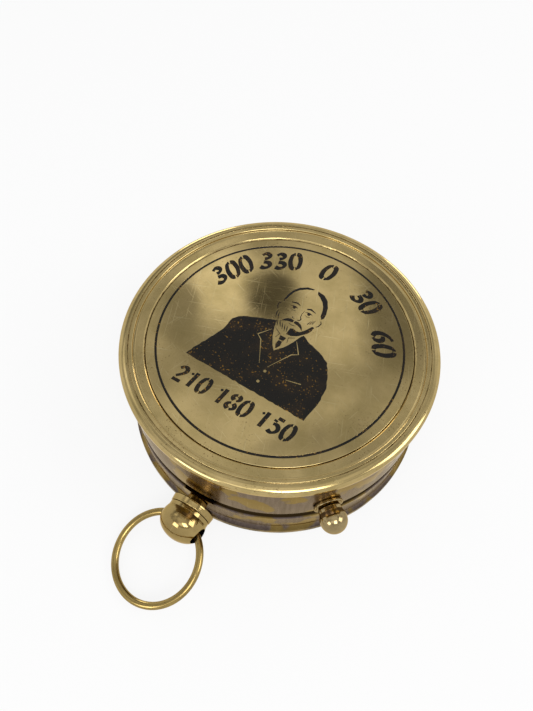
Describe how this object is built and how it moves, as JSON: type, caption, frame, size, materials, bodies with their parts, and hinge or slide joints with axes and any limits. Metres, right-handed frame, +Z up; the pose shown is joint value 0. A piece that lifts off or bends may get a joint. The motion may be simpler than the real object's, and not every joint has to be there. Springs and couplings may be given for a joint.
{
  "type": "sundial compass",
  "caption": "Round brass pocket compass with a hinged etched lid, folding gnomon and hour ring over a glazed needle, side arrest stud, and a pendant ball with a wire bow ring.",
  "frame": {"origin": "centre of the flat underside of the case, on the case's axis", "axes": "+Z up along the case's axis, -Y towards the pendant, +Y towards the lid hinge"},
  "size_m": [0.064, 0.0858, 0.0249],
  "materials": {
    "tarnished_brass": "polished, with mauve-brown tarnish stains",
    "aged_brass": "polished and handled, fine scratches",
    "etched_brass": "polished, etched and filled black",
    "polished_brass": "turned and polished",
    "silvered_dial": "silvered, satin",
    "steel": "plain steel",
    "blued_steel": "blued on the north half",
    "window_glass": "clear"
  },
  "bodies": {
    "case": {"case_body": "tarnished_brass", "hinge_knuckle_left": "tarnished_brass", "hinge_knuckle_right": "tarnished_brass", "hinge_pin": "steel", "dial_plate": "silvered_dial", "dial_screw_1": "steel", "dial_screw_2": "steel", "dial_screw_3": "steel", "pivot_post": "polished_brass", "fulcrum_block": "polished_brass", "fulcrum_pin": "steel", "stud_bush": "polished_brass", "return_spring": "steel", "spring_bracket": "polished_brass", "bracket_screw": "steel", "glass": "window_glass", "hour_ring": "aged_brass", "retaining_ring": "polished_brass", "gnomon_lug_front": "polished_brass", "gnomon_lug_back": "polished_brass", "gnomon_pin": "steel", "pendant_flange": "polished_brass", "pendant_ball": "polished_brass"},
    "lid": {"lid_ring": "aged_brass", "lid_plate": "etched_brass", "lid_knuckle": "tarnished_brass"},
    "gnomon_leaf": {"gnomon": "polished_brass"},
    "stud": {"stud_knob": "polished_brass", "plunger_rod": "steel"},
    "lever": {"lifter_lever": "polished_brass"},
    "lift": {"lift_collar": "polished_brass"},
    "compass_needle": {"needle": "blued_steel", "needle_cap": "polished_brass"},
    "bow": {"bow_ring": "polished_brass"}
  },
  "joints": [
    {"name": "lid_hinge", "type": "hinge", "parent": "case", "child": "lid", "pos_m": [0, 0.031, 0.0212], "axis": [-1, 0, 0], "range_deg": [0, 110]},
    {"name": "gnomon_fold", "type": "hinge", "parent": "case", "child": "gnomon_leaf", "pos_m": [0, 0, 0.02025], "axis": [0, -1, 0], "range_deg": [0, 90]},
    {"name": "stud_push", "type": "slide", "parent": "case", "child": "stud", "axis": [-0.7431, 0.6691, 0], "range_m": [0, 0.001], "stiffness_N_per_m": 200, "springref_m": -0.0008, "deforming": ["return_spring"]},
    {"name": "lever_rock", "type": "hinge", "parent": "case", "child": "lever", "pos_m": [0.00914, -0.00823, 0.01115], "axis": [0.6691, 0.7431, 0], "range_deg": [0, 3.75]},
    {"name": "collar_lift", "type": "slide", "parent": "case", "child": "lift", "axis": [0, 0, 1], "range_m": [0, 0.0008]},
    {"name": "needle_spin", "type": "hinge", "parent": "lift", "child": "compass_needle", "pos_m": [0, 0, 0.0155], "axis": [0, 0, 1], "continuous": true},
    {"name": "bow_swing", "type": "hinge", "parent": "case", "child": "bow", "pos_m": [0, -0.0368, 0.00535], "axis": [0.9727, -0.1392, 0.1856], "range_deg": [-110, 105]}
  ],
  "couplings": [
    {"joint": "gnomon_fold", "follows": "lid_hinge", "ratio": 0.818},
    {"joint": "lever_rock", "follows": "stud_push", "rad_per_m": 65.1},
    {"joint": "collar_lift", "follows": "stud_push", "ratio": 0.8}
  ]
}
